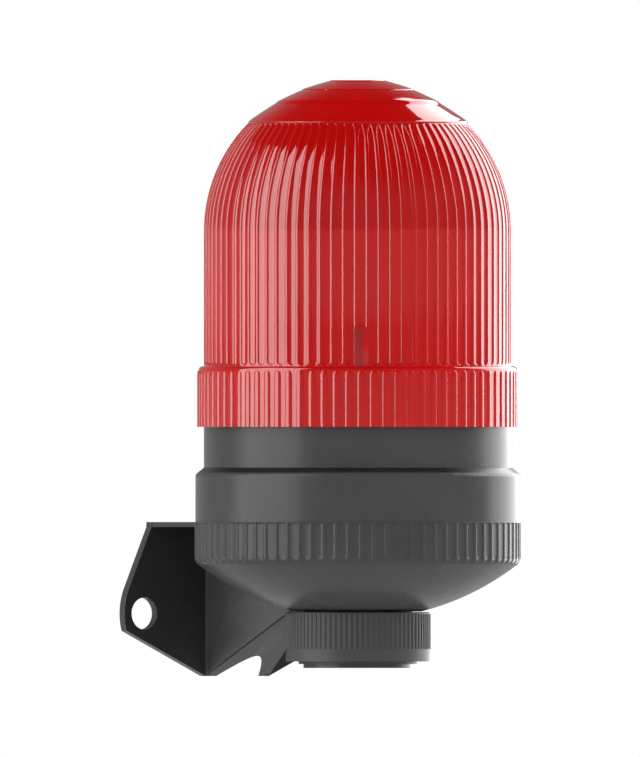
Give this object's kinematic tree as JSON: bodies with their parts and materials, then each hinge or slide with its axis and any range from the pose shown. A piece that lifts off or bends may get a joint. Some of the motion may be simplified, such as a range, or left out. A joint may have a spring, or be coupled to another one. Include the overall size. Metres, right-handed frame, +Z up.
{
  "type": "wall-mounted signal buzzer",
  "caption": "Wall-mounted signal buzzer: fluted red dome lens on a dark round body, ribbed cup with a bracket for two wall screws, knurled clamp nut below, sounder and lights inside.",
  "frame": {"origin": "midway between the two wall screw holes, on the wall plane", "axes": "+Y into the wall, the lamp stands out towards -Y, +Z up along the lamp's axis, +X to the right seen from the front"},
  "size_m": [0.0652, 0.0746, 0.1192],
  "materials": {
    "housing": "satin moulded",
    "nut": "satin moulded",
    "lens_red": "clear red, glossy",
    "rubber": "soft matte",
    "steel": "zinc plated",
    "board_green": "solder mask",
    "board_white": "white solder mask",
    "black_plastic": "satin",
    "brass": "plain",
    "terminal_green": "satin",
    "blue_plastic": "satin",
    "ivory_plastic": "satin",
    "red_plastic": "satin",
    "capacitor_sleeve": "shrink sleeve",
    "led_resin": "clear"
  },
  "bodies": {
    "housing": {"wall_base": "housing", "lamp_body": "housing", "seat_gasket": "rubber", "cable_grommet": "rubber", "lens_seal": "rubber", "main_board": "board_green", "board_screws": "steel", "buzzer_base": "black_plastic", "buzzer_case": "black_plastic", "buzzer_disc": "brass", "terminal_block": "terminal_green", "terminal_cages": "brass", "terminal_screws": "steel", "volume_body": "blue_plastic", "tone_switch": "red_plastic", "capacitor": "capacitor_sleeve", "driver_chip": "black_plastic", "board_header": "black_plastic", "led_spacers": "ivory_plastic", "led_board": "board_white", "leds": "led_resin"},
    "lens": {"lens": "lens_red"},
    "nut_washer": {"nut_washer": "steel"},
    "clamp_nut": {"clamp_nut": "nut"},
    "volume_rotor": {"volume_rotor": "ivory_plastic"},
    "tone_lever_1": {"tone_lever_1": "ivory_plastic"},
    "tone_lever_2": {"tone_lever_2": "ivory_plastic"}
  },
  "joints": [
    {"name": "lens_twist", "type": "hinge", "parent": "housing", "child": "lens", "pos_m": [0, -0.042, 0.0373], "axis": [0, 0, 1], "range_deg": [0, 25]},
    {"name": "nut_travel", "type": "slide", "parent": "housing", "child": "nut_washer", "axis": [0, 0, -1], "range_m": [0, 0.0091]},
    {"name": "nut_turn", "type": "hinge", "parent": "nut_washer", "child": "clamp_nut", "pos_m": [0, -0.042, 0], "axis": [0, 0, -1], "range_deg": [0, 2160]},
    {"name": "volume_turn", "type": "hinge", "parent": "housing", "child": "volume_rotor", "pos_m": [0.0165, -0.042, 0.05], "axis": [0, 0, 1], "range_deg": [0, 270]},
    {"name": "tone_slide_1", "type": "slide", "parent": "housing", "child": "tone_lever_1", "axis": [1, 0, 0], "range_m": [0, 0.0012]},
    {"name": "tone_slide_2", "type": "slide", "parent": "housing", "child": "tone_lever_2", "axis": [1, 0, 0], "range_m": [0, 0.0012]}
  ],
  "couplings": [
    {"joint": "nut_travel", "follows": "nut_turn", "m_per_rad": 0.00023873}
  ]
}
